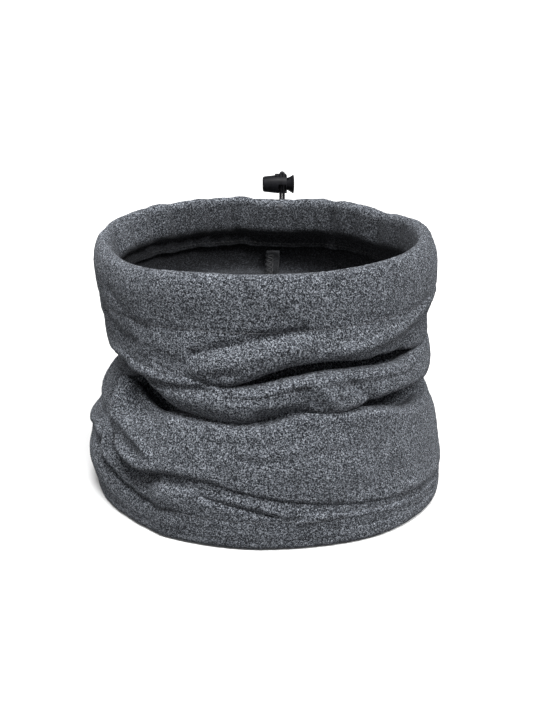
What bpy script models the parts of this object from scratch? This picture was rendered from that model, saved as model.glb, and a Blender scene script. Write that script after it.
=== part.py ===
"""Fleece neck gaiter: a fleece tube standing slouched in folds, with a drawcord casing and a cord lock.

The tube stands on z = 0 with its axis on +Z. The back seam and the cord lock are on the +Y side.
"""

import math

import bmesh
import bpy
import numpy as np
from mathutils import Vector

GROUP = "neck_gaiter"

# Fleece tube
RIM_HALF_X = 0.0945
RIM_HALF_Y = 0.0820
CREST_TOP = 0.1492
PLY = 0.0026
GAP = 0.0003
COLUMNS = 52
FOLD_ROWS = 16

# Drawcord casing: the ply turned in over the crest, with a channel between the plies
CHANNEL = 0.0028
CREST_RADIUS = PLY + CHANNEL / 2
CREST_CENTRE = CREST_TOP - CREST_RADIUS
CHANNEL_DEPTH = 0.0200
CASING_STITCH_Z = 0.1222
CASING_EDGE_Z = 0.1190

# Hem: the ply turned in at the bottom
HEM_TOP_Z = 0.0205
HEM_STITCH_Z = 0.0175
FOOT_WIDTH = 2 * PLY + GAP

# Back seam allowance, two plies thick, pressed towards -X
SEAM_ANGLE = math.radians(84)
SEAM_EDGE_ANGLE = math.radians(89.2)
SEAM_PLY = 0.0044
SEAM_BOTTOM_Z = 0.0230
SEAM_TOP_Z = 0.1165

THREAD_RADIUS = 0.00035

# Drawcord and its opening in the crest
CORD_RADIUS = 0.0008
LEG_PITCH = 0.0019
CORD_X = 0.0110
CORD_ANGLE = math.acos(CORD_X / (RIM_HALF_X - CREST_RADIUS))
CORD_Y = (RIM_HALF_Y - CREST_RADIUS) * math.sin(CORD_ANGLE)
LEG_BOTTOM_Z = CREST_CENTRE - 0.0140
BIGHT_TOP_Z = 0.1667
OPENING_X = 0.0052
OPENING_Y = 0.0030

# Cord lock, with x measured from the cord along the barrel
LOCK_Y = CORD_Y + 0.0016
LOCK_Z = 0.1583
BARREL_START = -0.0123
BARREL_END = 0.0030
BARREL_SMALL_RADIUS = 0.0046
BARREL_LARGE_RADIUS = 0.0058
BORE_RADIUS = 0.0041
BORE_START = -0.0060
POCKET_RADIUS = 0.0032
POCKET_START = -0.0104
SHAFT_RADIUS = 0.0038
SHAFT_START = -0.0034
HEAD_START = 0.0054
HEAD_END = 0.0072
HEAD_RADIUS = 0.0055
LEG_CLEARANCE = 0.0003
PRESS_TRAVEL = 0.0021
SPRING_RADIUS = 0.0024
SPRING_WIRE = 0.0003
SPRING_TURNS = 4

# Folds, each as (angle in degrees, height, depth) round the tube, from the lowest to the highest
FOLD_LOW = (
    (-170, 0.036, 0.003), (-155, 0.033, 0.006), (-138, 0.028, 0.004), (-115, 0.028, 0.001),
    (-60, 0.028, 0.000), (0, 0.028, 0.000), (60, 0.032, 0.002), (120, 0.034, 0.003), (160, 0.036, 0.002),
)
FOLD_MIDDLE = (
    (-170, 0.066, 0.003), (-145, 0.060, 0.008), (-134, 0.044, 0.008), (-115, 0.040, 0.004),
    (-80, 0.038, 0.002), (-40, 0.038, 0.002), (10, 0.042, 0.003), (70, 0.050, 0.005),
    (120, 0.052, 0.005), (160, 0.060, 0.003),
)
FOLD_UPPER = (
    (-170, 0.080, 0.006), (-145, 0.078, 0.010), (-128, 0.075, 0.009), (-110, 0.070, 0.005),
    (-85, 0.071, 0.002), (-55, 0.072, 0.004), (-25, 0.067, 0.009), (0, 0.064, 0.008),
    (40, 0.070, 0.004), (90, 0.074, 0.005), (140, 0.076, 0.004), (170, 0.078, 0.005),
)
FOLD_CUFF = (
    (-170, 0.100, 0.002), (-145, 0.094, 0.003), (-110, 0.091, 0.003), (-90, 0.094, 0.007),
    (-60, 0.098, 0.009), (-30, 0.094, 0.007), (0, 0.093, 0.004), (50, 0.098, 0.003),
    (100, 0.100, 0.004), (150, 0.101, 0.003),
)
FOLDS = (FOLD_LOW, FOLD_MIDDLE, FOLD_UPPER, FOLD_CUFF)
FOLD_WIDTH = 0.0062
FLARE = ((0.0, 0.0102), (0.012, 0.0108), (0.028, 0.0098), (0.045, 0.0072), (0.062, 0.0042),
         (0.080, 0.0016), (0.100, 0.0002), (0.120, -0.0004), (0.150, 0.0))
GROOVE = 0.0009

FLEECE = (0.13, 0.14, 0.16)
THREAD = (0.10, 0.105, 0.12)
CORD = (0.012, 0.012, 0.013)
PLASTIC = (0.016, 0.016, 0.018)
STEEL = (0.55, 0.55, 0.57)


def clear_scene():
    for obj in list(bpy.data.objects):
        bpy.data.objects.remove(obj)
    for mesh in list(bpy.data.meshes):
        bpy.data.meshes.remove(mesh)


def material(name, colour, roughness, metallic=0.0):
    found = bpy.data.materials.get(name) or bpy.data.materials.new(name)
    found.use_nodes = True
    shader = found.node_tree.nodes["Principled BSDF"]
    shader.inputs["Base Color"].default_value = (*colour, 1.0)
    shader.inputs["Roughness"].default_value = roughness
    shader.inputs["Metallic"].default_value = metallic
    found.diffuse_color = (*colour, 1.0)
    return found


def add_object(name, data, group, mat=None):
    obj = bpy.data.objects.new(name, data)
    group.objects.link(obj)
    if mat:
        data.materials.append(mat)
    return obj


def mesh_from(name, verts, faces):
    """A mesh with its faces turned to point outwards."""
    mesh = bpy.data.meshes.new(name)
    mesh.from_pydata([tuple(v) for v in verts], [], faces)
    solid = bmesh.new()
    solid.from_mesh(mesh)
    bmesh.ops.recalc_face_normals(solid, faces=solid.faces)
    if solid.calc_volume(signed=True) < 0:
        bmesh.ops.reverse_faces(solid, faces=solid.faces)
    solid.to_mesh(mesh)
    solid.free()
    return mesh


def round_the_tube(keys, angle):
    """Height and depth of a fold at an angle, eased between the keys on either side."""
    angles = [math.radians(key[0]) for key in keys]
    turned = (angle - angles[0]) % (2 * math.pi)
    steps = [(a - angles[0]) for a in angles] + [2 * math.pi]
    for i in range(len(keys)):
        if turned <= steps[i + 1] or i == len(keys) - 1:
            part = (turned - steps[i]) / (steps[i + 1] - steps[i])
            part = part * part * (3 - 2 * part)
            here, after = keys[i], keys[(i + 1) % len(keys)]
            return tuple(here[k] + (after[k] - here[k]) * part for k in (1, 2))


def fullness(angle, z):
    """How far the outer face of the wall stands outside the rim's oval at this height."""
    heights, swells = zip(*FLARE)
    out = float(np.interp(z, heights, swells))
    for keys in FOLDS:
        height, depth = round_the_tube(keys, angle)
        out -= depth * math.exp(-(((z - height) / FOLD_WIDTH) ** 2))
        out += 0.25 * depth * math.exp(-(((z - height - 0.013) / 0.008) ** 2))
    for stitch in (CASING_STITCH_Z, HEM_STITCH_Z):
        out -= GROOVE * max(0.0, 1 - abs(z - stitch) / 0.0022)
    return out


def on_tube(angle, outwards, z):
    """The point this far outside the rim's oval."""
    return Vector(
        ((RIM_HALF_X + outwards) * math.cos(angle), (RIM_HALF_Y + outwards) * math.sin(angle), z)
    )


def wall_rows():
    """Heights of the wall's rows, closer together at the stitch lines and the folds."""
    low = [0.0052, 0.0102, HEM_STITCH_Z - 0.0022, HEM_STITCH_Z, HEM_STITCH_Z + 0.0022]
    middle = list(np.linspace(0.0260, 0.1120, FOLD_ROWS))
    high = [CASING_STITCH_Z - 0.0050, CASING_STITCH_Z - 0.0022, CASING_STITCH_Z, CASING_STITCH_Z + 0.0022]
    return low + middle + high + [0.1300, 0.1380]


def loft(sections):
    """One closed solid through a ring of closed sections that all have the same number of points."""
    count, size = len(sections), len(sections[0])
    verts = [point for section in sections for point in section]
    faces = []
    for i in range(count):
        j = (i + 1) % count
        for k in range(size):
            m = (k + 1) % size
            faces.append((i * size + k, i * size + m, j * size + m, j * size + k))
    return verts, faces


def tube_angles():
    return [2 * math.pi * i / COLUMNS for i in range(COLUMNS)]


def make_fleece_tube(group, mat):
    """The wall, the crest that it turns over and the foot that it turns in on."""
    sections = []
    rows = wall_rows()
    arc = [math.pi * i / 6 for i in range(7)]
    for angle in tube_angles():
        section = [on_tube(angle, fullness(angle, 0.0), 0.0)]
        section += [on_tube(angle, fullness(angle, z), z) for z in rows]
        top = fullness(angle, CREST_CENTRE)
        middle = top - CREST_RADIUS
        for turn in arc:
            section.append(on_tube(angle, middle + CREST_RADIUS * math.cos(turn),
                                   CREST_CENTRE + CREST_RADIUS * math.sin(turn)))
        for turn in reversed(arc[::2]):
            section.append(on_tube(angle, middle + CHANNEL / 2 * math.cos(turn),
                                   CREST_CENTRE + CHANNEL / 2 * math.sin(turn)))
        section += [on_tube(angle, fullness(angle, z) - PLY, z) for z in reversed(rows)]
        foot = fullness(angle, 0.0)
        section.append(on_tube(angle, foot - PLY, PLY))
        section.append(on_tube(angle, foot - FOOT_WIDTH, PLY))
        section.append(on_tube(angle, foot - FOOT_WIDTH, 0.0))
        sections.append(section)
    tube = add_object("fleece_tube", mesh_from("fleece_tube", *loft(sections)), group, mat)
    return tube


def make_casing_band(group, mat):
    """The turned-in ply: it hangs clear of the wall round the channel and closes on it at the stitching."""
    sections = []
    clear, closed = PLY + CHANNEL, PLY + GAP
    rows = (
        (CREST_CENTRE - GAP, clear), (0.1380, clear), (0.1300, clear),
        (CREST_CENTRE - CHANNEL_DEPTH, clear), (CASING_STITCH_Z - 0.0010, closed), (CASING_EDGE_Z, closed),
    )
    for angle in tube_angles():
        outer = [on_tube(angle, fullness(angle, z) - inset, z) for z, inset in rows]
        inner = [on_tube(angle, fullness(angle, z) - inset - PLY, z) for z, inset in reversed(rows)]
        sections.append(outer + inner)
    return add_object("casing_band", mesh_from("casing_band", *loft(sections)), group, mat)


def make_hem_band(group, mat):
    """The hem's inner ply, standing on the foot of the wall."""
    sections = []
    rows = [PLY + GAP, 0.0052, 0.0102, HEM_STITCH_Z - 0.0022, HEM_STITCH_Z, HEM_STITCH_Z + 0.0022, HEM_TOP_Z]
    for angle in tube_angles():
        outer = [on_tube(angle, fullness(angle, z) - PLY - GAP, z) for z in rows]
        inner = [on_tube(angle, fullness(angle, z) - 2 * PLY - GAP, z) for z in reversed(rows)]
        sections.append(outer + inner)
    return add_object("hem_band", mesh_from("hem_band", *loft(sections)), group, mat)


def tube_through(name, points, radius, rings, group, mat, closed=False):
    """A round cord or thread through the points, as a curve with a bevel."""
    curve = bpy.data.curves.new(name, "CURVE")
    curve.dimensions = "3D"
    curve.bevel_depth = radius
    curve.bevel_resolution = rings
    curve.use_fill_caps = not closed
    line = curve.splines.new("POLY")
    line.points.add(len(points) - 1)
    for spot, point in zip(line.points, points):
        spot.co = (*point, 1.0)
    line.use_cyclic_u = closed
    return add_object(name, curve, group, mat)


def make_stitch_line(name, outwards, z, group, mat):
    """A ring of thread round the tube, this far outside the wall's outer face."""
    points = [on_tube(angle, fullness(angle, z) + outwards, z) for angle in tube_angles()]
    return tube_through(name, points, THREAD_RADIUS, 1, group, mat, closed=True)


def seam_rows():
    return [SEAM_BOTTOM_Z] + list(np.linspace(0.0260, 0.1120, FOLD_ROWS)) + [SEAM_TOP_Z]


def make_seam_allowance(group, mat):
    """The two seam edges, laid flat against the inside of the wall."""
    angles = np.linspace(SEAM_ANGLE, SEAM_EDGE_ANGLE, 4)
    rows = seam_rows()
    backs = (PLY + GAP + 0.0002, PLY + GAP + 0.0002 + SEAM_PLY)
    verts, faces = [], []
    for back in backs:
        for z in rows:
            for angle in angles:
                verts.append(on_tube(angle, fullness(angle, z) - back, z))
    wide, tall = len(angles), len(rows)
    sheet = wide * tall
    for r in range(tall - 1):
        for c in range(wide - 1):
            a = r * wide + c
            faces.append((a, a + 1, a + 1 + wide, a + wide))
            faces.append((sheet + a, sheet + a + wide, sheet + a + 1 + wide, sheet + a + 1))
        for c in (0, wide - 1):
            a = r * wide + c
            faces.append((a, a + wide, sheet + a + wide, sheet + a))
    for r in (0, tall - 1):
        for c in range(wide - 1):
            a = r * wide + c
            faces.append((a, a + 1, sheet + a + 1, sheet + a))
    return add_object("back_seam_allowance", mesh_from("back_seam_allowance", verts, faces), group, mat)


def make_overlock_thread(group, mat):
    """The overlock thread: a zigzag on the face of the allowance, along its free edge."""
    points = []
    lift = PLY + GAP + 0.0002 + SEAM_PLY + GAP + 0.0006
    heights = np.linspace(SEAM_BOTTOM_Z + 0.002, SEAM_TOP_Z - 0.002, 40)
    for i, z in enumerate(heights):
        angle = SEAM_EDGE_ANGLE - math.radians(0.4 if i % 2 else 2.6)
        points.append(on_tube(angle, fullness(angle, z) - lift, z))
    return tube_through("seam_overlock_thread", points, THREAD_RADIUS, 1, group, mat)


def make_bar_tack(name, lean, group, mat):
    """A short dense block of stitches at one end of the seam opening in the crest."""
    mesh = bpy.data.meshes.new(name)
    block = bmesh.new()
    bmesh.ops.create_cube(block, size=1.0)
    bmesh.ops.scale(block, vec=(0.0056, 0.0013, 0.0008), verts=block.verts)
    bmesh.ops.bevel(block, geom=block.edges, offset=0.0002, segments=1, affect="EDGES")
    block.to_mesh(mesh)
    block.free()
    tack = add_object(name, mesh, group, mat)
    reach = CREST_RADIUS + GAP + 0.0007
    tack.location = (CORD_X, CORD_Y + reach * math.sin(lean), CREST_CENTRE + reach * math.cos(lean))
    tack.rotation_euler = (-lean, 0, 0)
    return tack


def make_drawcord_ring(group, mat):
    """The cord in the channel: it dips at the back and turns up to meet both legs of the bight."""
    dip = (
        (0.0420, -0.0015), (0.0330, -0.0034), (0.0260, -0.0072), (0.0190, -0.0122), (0.0130, -0.0160),
        (0.0080, -0.0178), (0.0045, -0.0182), (0.0026, -0.0177), (0.0014, -0.0167), (0.0010, -0.0155),
        (0.00095, -0.0143),
    )
    radius = RIM_HALF_X - CREST_RADIUS
    start, end = CORD_ANGLE + 0.0500 / radius, CORD_ANGLE - 0.0500 / radius + 2 * math.pi

    def route(angle, below):
        z = CREST_CENTRE + below
        return on_tube(angle, fullness(angle, z) - CREST_RADIUS, z)

    points = [route(CORD_ANGLE + side / radius, below) for side, below in reversed(dip)]
    points += [route(angle, -0.0015) for angle in np.linspace(start, end, 42)]
    points += [route(CORD_ANGLE - side / radius, below) for side, below in dip]
    return tube_through("drawcord_ring", points, CORD_RADIUS, 2, group, mat)


def make_bight(group, mat):
    """The doubled end of the cord: two straight legs and the turn that joins them above the lock."""
    half = LEG_PITCH / 2
    turn_z = BIGHT_TOP_Z - CORD_RADIUS - half
    heights = list(np.linspace(LEG_BOTTOM_Z, turn_z, 9))
    points = [Vector((CORD_X - half, CORD_Y, z)) for z in heights]
    for i in range(1, 8):
        turn = math.pi - math.pi * i / 8
        points.append(Vector((CORD_X + half * math.cos(turn), CORD_Y, turn_z + half * math.sin(turn))))
    points += [Vector((CORD_X + half, CORD_Y, z)) for z in reversed(heights)]
    return tube_through("drawcord_bight", points, CORD_RADIUS, 2, group, mat)


def cutter(name, low, high, group):
    """A box that a Boolean takes away, given by two opposite corners."""
    mesh = bpy.data.meshes.new(name)
    block = bmesh.new()
    bmesh.ops.create_cube(block, size=1.0)
    bmesh.ops.scale(block, vec=Vector(high) - Vector(low), verts=block.verts)
    bmesh.ops.translate(block, vec=(Vector(high) + Vector(low)) / 2, verts=block.verts)
    block.to_mesh(mesh)
    block.free()
    box = add_object(name, mesh, group)
    box.hide_render = True
    box.display_type = "WIRE"
    return box


def cut(obj, box):
    step = obj.modifiers.new(box.name, "BOOLEAN")
    step.operation = "DIFFERENCE"
    step.solver = "EXACT"
    step.object = box


def turned(name, profile, group, mat):
    """A solid of revolution about the object's own Z, from (radius, height) pairs listed top to bottom."""
    mesh = bpy.data.meshes.new(name)
    mesh.from_pydata([(r, 0, z) for r, z in profile], [(i, i + 1) for i in range(len(profile) - 1)], [])
    obj = add_object(name, mesh, group, mat)
    spin = obj.modifiers.new("Turn", "SCREW")
    spin.steps = spin.render_steps = 32
    spin.use_merge_vertices = True
    spin.merge_threshold = 0.00001
    spin.use_normal_calculate = True
    return obj


def lie_along_x(obj):
    obj.location = (CORD_X, LOCK_Y, LOCK_Z)
    obj.rotation_euler = (0, math.pi / 2, 0)


def lock_box(name, low, high, group):
    """A cutter given in the lock's own axes: x from the cord, y and z from the barrel's axis."""
    shift = Vector((CORD_X, LOCK_Y, LOCK_Z))
    return cutter(name, Vector(low) + shift, Vector(high) + shift, group)


def make_barrel(group, cutters, mat):
    """The barrel: a cup that opens towards +X, with a slot for the cord and a flared mouth low at the front."""
    edge = 0.0010
    profile = (
        (BORE_RADIUS, BARREL_END), (BARREL_LARGE_RADIUS - 0.0004, BARREL_END),
        (BARREL_LARGE_RADIUS, BARREL_END - 0.0004), (BARREL_LARGE_RADIUS, -0.0022),
        (BARREL_SMALL_RADIUS + 0.0002, BARREL_START + edge), (BARREL_SMALL_RADIUS - 0.0003, BARREL_START + 0.0003),
        (BARREL_SMALL_RADIUS - edge, BARREL_START), (0.0, BARREL_START), (0.0, POCKET_START),
        (POCKET_RADIUS, POCKET_START), (POCKET_RADIUS, BORE_START), (BORE_RADIUS, BORE_START),
        (BORE_RADIUS, BARREL_END),
    )
    barrel = turned("cord_lock_barrel", profile, group, mat)
    lie_along_x(barrel)
    slot = LEG_PITCH / 2 + CORD_RADIUS + LEG_CLEARANCE
    leg_y = CORD_Y - LOCK_Y
    cut(barrel, lock_box("barrel_slot_cutter", (-slot, leg_y - 0.0012, -0.0080),
                         (slot, leg_y + 0.0020, 0.0080), cutters))
    cut(barrel, lock_box("barrel_mouth_cutter", (-slot - 0.0003, -0.0090, -0.0090),
                         (slot + 0.0003, leg_y + 0.0014, 0.0008), cutters))
    return barrel


def make_plunger(group, cutters, mat):
    """The plunger: a shaft with a side notch that traps the cord, and the head that is pressed."""
    profile = (
        (0.0, HEAD_END), (HEAD_RADIUS - 0.0012, HEAD_END), (HEAD_RADIUS - 0.0003, HEAD_END - 0.0004),
        (HEAD_RADIUS, HEAD_END - 0.0009), (HEAD_RADIUS - 0.0002, HEAD_START + 0.0001),
        (HEAD_RADIUS - 0.0006, HEAD_START), (SHAFT_RADIUS, HEAD_START),
        (SHAFT_RADIUS, SHAFT_START + 0.0003), (SHAFT_RADIUS - 0.0003, SHAFT_START), (0.0, SHAFT_START),
    )
    plunger = turned("cord_lock_plunger", profile, group, mat)
    lie_along_x(plunger)
    near = LEG_PITCH / 2 + CORD_RADIUS + LEG_CLEARANCE
    cut(plunger, lock_box("plunger_notch_cutter", (-near, -0.0060, -0.0060),
                          (near + PRESS_TRAVEL, CORD_Y - LOCK_Y + 0.0021, 0.0060), cutters))
    return plunger


def make_spring(group, mat):
    """The compression spring between the barrel's floor and the plunger."""
    first = POCKET_START + SPRING_WIRE + 0.0002
    last = SHAFT_START - SPRING_WIRE - 0.0002
    count = SPRING_TURNS * 12 + 1
    points = []
    for i in range(count):
        turn = 2 * math.pi * i / 12
        points.append(Vector((CORD_X + first + (last - first) * i / (count - 1),
                              LOCK_Y + SPRING_RADIUS * math.cos(turn), LOCK_Z + SPRING_RADIUS * math.sin(turn))))
    return tube_through("cord_lock_spring", points, SPRING_WIRE, 1, group, mat)


def main():
    clear_scene()
    group = bpy.data.collections.new(GROUP)
    cutters = bpy.data.collections.new("cutters")
    bpy.context.scene.collection.children.link(group)
    bpy.context.scene.collection.children.link(cutters)
    fleece = material("fleece", FLEECE, 0.95)
    lining = material("fleece_turned_in", FLEECE, 0.95)
    thread = material("thread", THREAD, 0.7)
    cord = material("cord", CORD, 0.8)
    plastic = material("lock_plastic", PLASTIC, 0.4)
    steel = material("spring_steel", STEEL, 0.3, 1.0)

    tube = make_fleece_tube(group, fleece)
    cut(tube, cutter("cord_opening_cutter",
                     (CORD_X - OPENING_X / 2, CORD_Y - OPENING_Y / 2, CREST_CENTRE + 0.0004),
                     (CORD_X + OPENING_X / 2, CORD_Y + OPENING_Y / 2, CREST_TOP + 0.0040), cutters))
    make_casing_band(group, lining)
    make_hem_band(group, lining)
    make_seam_allowance(group, lining)
    make_overlock_thread(group, thread)
    outside = THREAD_RADIUS + GAP
    make_stitch_line("casing_stitch_outer", outside, CASING_STITCH_Z, group, thread)
    make_stitch_line("casing_stitch_inner", -2 * PLY - GAP - outside - 0.0002, CASING_STITCH_Z - 0.0010, group, thread)
    make_stitch_line("hem_stitch_outer", outside, HEM_STITCH_Z, group, thread)
    make_stitch_line("hem_stitch_inner", -2 * PLY - GAP - outside - 0.0002, HEM_STITCH_Z, group, thread)
    make_bar_tack("bar_tack_outer", math.radians(46), group, thread)
    make_bar_tack("bar_tack_inner", math.radians(-46), group, thread)
    make_drawcord_ring(group, cord)
    make_bight(group, cord)
    make_barrel(group, cutters, plastic)
    make_plunger(group, cutters, plastic)
    make_spring(group, steel)


main()
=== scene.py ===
"""Looks for the neck gaiter: heathered fleece in slouched folds, drawcord, cord lock, floor and light."""

import math

import bmesh
import bpy
import numpy as np
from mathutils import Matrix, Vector, noise


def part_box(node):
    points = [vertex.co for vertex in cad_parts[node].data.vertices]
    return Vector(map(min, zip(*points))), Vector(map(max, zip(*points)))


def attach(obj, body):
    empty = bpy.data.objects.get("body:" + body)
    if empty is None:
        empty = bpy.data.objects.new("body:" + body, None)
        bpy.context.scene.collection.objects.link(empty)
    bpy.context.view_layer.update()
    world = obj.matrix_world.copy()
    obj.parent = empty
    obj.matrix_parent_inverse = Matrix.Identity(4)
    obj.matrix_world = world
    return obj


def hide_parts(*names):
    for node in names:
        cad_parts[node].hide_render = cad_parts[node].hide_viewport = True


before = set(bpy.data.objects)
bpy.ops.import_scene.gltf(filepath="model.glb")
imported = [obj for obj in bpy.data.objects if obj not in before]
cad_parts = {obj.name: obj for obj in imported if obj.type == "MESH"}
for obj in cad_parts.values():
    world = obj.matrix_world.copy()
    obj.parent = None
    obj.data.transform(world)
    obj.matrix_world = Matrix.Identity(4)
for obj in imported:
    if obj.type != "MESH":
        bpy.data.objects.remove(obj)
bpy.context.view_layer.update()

MM = 0.001
# Half width and half depth of the rim's oval, and the thickness of the cloth, in metres.
RIM_A, RIM_B = 0.0945, 0.0820
PLY = 0.0026

# ---------------------------------------------------------------- camera

# Place in metres, pitch down in radians, and focal length where the picture's long side is PICTURE_SIDE.
CAM_AT = (0.0034, -0.55, 0.2935)
CAM_PITCH = 0.3843
CAM_FOCAL = 1009.1
PICTURE_SIDE = 720
SENSOR = 36.0


def link(obj):
    bpy.context.scene.collection.objects.link(obj)
    return obj


def make_camera():
    data = bpy.data.cameras.new("camera")
    data.sensor_fit = "AUTO"
    data.sensor_width = SENSOR
    data.lens = CAM_FOCAL * SENSOR / PICTURE_SIDE
    data.clip_start, data.clip_end = 0.01, 20.0
    camera = link(bpy.data.objects.new("camera", data))
    camera.location = CAM_AT
    camera.rotation_euler = (math.pi / 2 - CAM_PITCH, 0, 0)
    bpy.context.scene.camera = camera


make_camera()

# ---------------------------------------------------------------- helpers


def mesh_object(name, verts, faces, smooth=True):
    mesh = bpy.data.meshes.new(name)
    verts = np.asarray(verts, np.float32)
    faces = np.asarray(faces, np.int32)
    mesh.vertices.add(len(verts))
    mesh.vertices.foreach_set("co", verts.ravel())
    size = faces.shape[1]
    mesh.loops.add(faces.size)
    mesh.loops.foreach_set("vertex_index", faces.ravel())
    mesh.polygons.add(len(faces))
    mesh.polygons.foreach_set("loop_start", np.arange(0, faces.size, size, dtype=np.int32))
    mesh.polygons.foreach_set("loop_total", np.full(len(faces), size, np.int32))
    mesh.update(calc_edges=True)
    mesh.validate()
    if smooth:
        mesh.polygons.foreach_set("use_smooth", np.ones(len(mesh.polygons), bool))
    return link(bpy.data.objects.new(name, mesh))


def close_and_turn_out(obj):
    """Fills the open ends of a mesh and turns its faces outwards."""
    shape = bmesh.new()
    shape.from_mesh(obj.data)
    bmesh.ops.holes_fill(shape, edges=[e for e in shape.edges if e.is_boundary])
    bmesh.ops.recalc_face_normals(shape, faces=shape.faces)
    shape.to_mesh(obj.data)
    shape.free()
    return obj


def tube_quads(rings, sides):
    """The faces of a tube of that many rings of points, each with that many sides."""
    i, j = np.meshgrid(np.arange(rings - 1), np.arange(sides), indexing="ij")
    k = (j + 1) % sides
    corners = (i * sides + j, i * sides + k, (i + 1) * sides + k, (i + 1) * sides + j)
    return np.stack(corners, -1).reshape(-1, 4)


def ring_curve(keys, angles):
    """Values round the tube through the keys (angle in degrees, value, ...), smooth and without overshoot."""
    keys = sorted(keys)
    base = np.array([k[0] for k in keys], float)
    cols = np.array([k[1:] for k in keys], float)
    span = np.concatenate([base[-2:] - 360, base, base[:2] + 360])
    vals = np.concatenate([cols[-2:], cols, cols[:2]])
    step = np.diff(span)[:, None]
    slope = np.diff(vals, axis=0) / step
    tangent = np.zeros_like(vals)
    same = slope[:-1] * slope[1:] > 0
    w1, w2 = 2 * step[1:] + step[:-1], step[1:] + 2 * step[:-1]
    with np.errstate(divide="ignore", invalid="ignore"):
        mean = (w1 + w2) / (w1 / slope[:-1] + w2 / slope[1:])
    tangent[1:-1] = np.where(same, mean, 0.0)
    a = (np.asarray(angles) - base[0]) % 360 + base[0]
    i = np.clip(np.searchsorted(span, a, side="right") - 1, 0, len(span) - 2)
    t = ((a - span[i]) / step[i, 0])[:, None]
    h = step[i]
    return (
        (2 * t**3 - 3 * t**2 + 1) * vals[i] + (t**3 - 2 * t**2 + t) * h * tangent[i]
        + (-2 * t**3 + 3 * t**2) * vals[i + 1] + (t**3 - t**2) * h * tangent[i + 1]
    )


def height_curve(keys, z):
    """Values by height through the keys (height, value, ...), lowest first, straight between them."""
    columns = np.array(keys, float).T
    return [np.interp(z, columns[0], column) for column in columns[1:]]


# ---------------------------------------------------------------- fleece shape

# Stitch lines, in mm: the casing's below the crest, and the hem's above the floor.
CASING_STITCH = 27.0
HEM_STITCH = 17.5
# Height of the rim's top round the tube, in mm, by angle in degrees from +X towards +Y.
CREST = (
    (-165, 144.6), (-141, 143.0), (-123, 144.6), (-109, 145.5), (-88, 145.9), (-66, 146.1), (-45, 146.8),
    (-20, 147.8), (0, 149.3), (13, 149.8), (26, 148.6), (36, 147.4), (52, 149.4), (65, 149.7), (76, 148.5),
    (84, 148.0), (91, 148.4), (100, 150.4), (109, 150.0), (117, 150.4), (128, 149.6), (138, 150.2),
    (148, 149.2), (159, 148.8), (178, 147.0),
)
# Gathers of the band over the drawcord: angle, width in degrees, depth in mm.
GATHERS = (
    (154, 3.4, 1.2), (142, 3.0, 2.8), (130, 2.8, 2.6), (121, 2.2, 1.4), (113, 2.8, 3.0), (104, 2.2, 2.4),
    (95, 2.4, 2.4), (78, 2.4, 1.6), (69, 2.0, 1.2), (61, 2.6, 4.2), (50, 3.0, 1.6), (36, 3.6, 2.2),
    (20, 3.6, 1.6), (-12, 4.0, 1.0), (-34, 3.6, 0.8), (-58, 3.4, 0.5), (-100, 3.4, 0.5), (-128, 3.4, 0.9),
    (172, 3.6, 1.6),
)
# The band inside, from its free edge up and over the crest: stand-off in mm, depth below the crest in mm, and
# the share of a gather's depth that it takes.
BAND = (
    (-3.0, 29.6, 0), (-2.9, 28.4, 0), (-2.9, 27.0, 0), (-2.9, 25.2, 0), (-3.0, 23.0, 0), (-3.3, 21.2, 0),
    (-4.4, 19.6, 0.2), (-6.8, 18.4, 0.5), (-9.0, 17.2, 0.8), (-9.8, 14.6, 1), (-9.6, 11.4, 1),
    (-8.8, 7.2, 1), (-7.8, 3.2, 0.8), (-6.6, -0.2, 0.4), (-4.0, -1.6, 0), (-1.3, -0.4, -0.3),
    (-0.2, 3.0, -0.4),
)
# How far the wall stands outside the rim's oval, in mm: height, then left, front, right, back, and what
# the two front corners add (left, right).
SWELL = (
    (0, 5.8, 11.2, 10.6, 10.0, 1.2, 3.8), (8, 7.8, 11.6, 10.4, 10.6, 0.8, 3.2),
    (18, 10.2, 12.2, 10.0, 10.8, 0.4, 1.8), (25, 11.9, 12.2, 8.8, 10.4, 0, 0.4),
    (32, 9.6, 12.0, 7.4, 9.8, 0, 0), (40, 5.0, 11.4, 6.8, 8.6, 0, 0), (50, 2.2, 9.8, 5.0, 7.2, 0, 0),
    (56, 0.6, 8.8, 3.2, 6.2, 0, 0), (60, -1.4, 7.8, 1.4, 5.4, 0, 0), (65, -5.2, 7.0, 0.0, 4.6, 0, 0),
    (70, -8.0, 6.4, 0.2, 4.0, 0, 0), (76, -10.2, 5.8, 0.6, 3.4, 0, 0), (80, -10.8, 5.6, 0.8, 3.0, 0, 0),
    (85, -9.6, 5.2, 0.8, 2.6, 0, 0), (90, -6.4, 4.8, 0.4, 2.0, 0, 0), (96, -4.2, 4.2, -0.2, 1.6, 0, 0),
    (100, -3.8, 3.6, -0.4, 1.0, 0, 0), (110, -2.4, 2.0, 0.8, 0.2, 0, 0), (122, -0.6, 0.6, 2.6, 0.0, 0, 0),
    (135, 0.6, 0.5, 2.2, 0.3, 0, 0), (150, 0.8, 0.0, 0.8, 0.0, 0, 0),
)
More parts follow.
